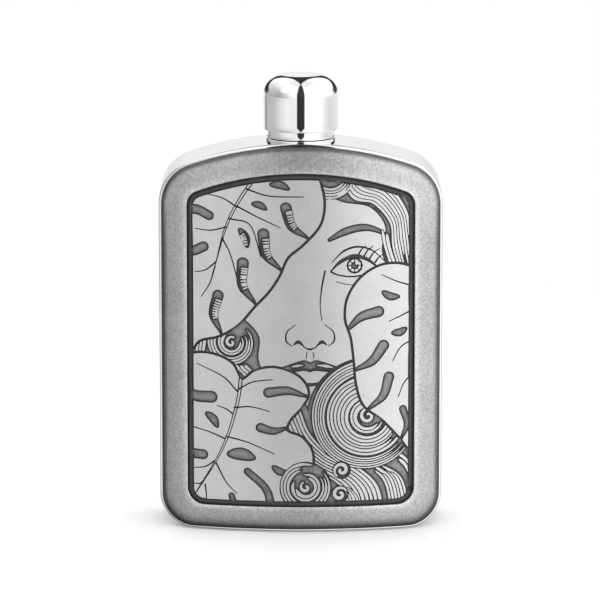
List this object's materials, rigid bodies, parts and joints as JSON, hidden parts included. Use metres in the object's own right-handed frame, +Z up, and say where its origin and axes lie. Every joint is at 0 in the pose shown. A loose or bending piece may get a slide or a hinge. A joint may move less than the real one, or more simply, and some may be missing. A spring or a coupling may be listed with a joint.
{
  "type": "hip flask",
  "caption": "Curved metal hip flask with an etched relief panel in a satin surround and a screw-on dome cap.",
  "frame": {"origin": "on the plane that the flask stands on, straight below the axis of the neck", "axes": "+Z up along the neck's axis, X across the flask, the convex decorated front faces -Y"},
  "size_m": [0.0916, 0.0354, 0.1478],
  "materials": {
    "polished_steel": "mirror polish",
    "brushed_steel": "fine vertical brushing",
    "satin_pewter": "satin, finely mottled",
    "etched_pewter": "satin tops, dark patina in the recesses",
    "neck_steel": "turned",
    "gasket_rubber": "matt food-grade silicone"
  },
  "bodies": {
    "flask": {"side_band": "polished_steel", "front_plate": "polished_steel", "back_plate": "brushed_steel", "front_frame": "satin_pewter", "relief_plaque": "etched_pewter", "neck_tube": "neck_steel", "neck_collar": "polished_steel"},
    "seal": {"cap_gasket": "gasket_rubber"},
    "cap": {"cap_dome": "polished_steel", "cap_insert": "polished_steel"}
  },
  "joints": [
    {"name": "cap_lift", "type": "slide", "parent": "flask", "child": "seal", "axis": [0, 0, 1], "range_m": [0, 0.0121]},
    {"name": "cap_turn", "type": "hinge", "parent": "seal", "child": "cap", "pos_m": [0, 0, 0.12775], "axis": [0, 0, 1], "range_deg": [0, 1440]}
  ],
  "couplings": [
    {"joint": "cap_lift", "follows": "cap_turn", "m_per_rad": 0.00047746}
  ]
}
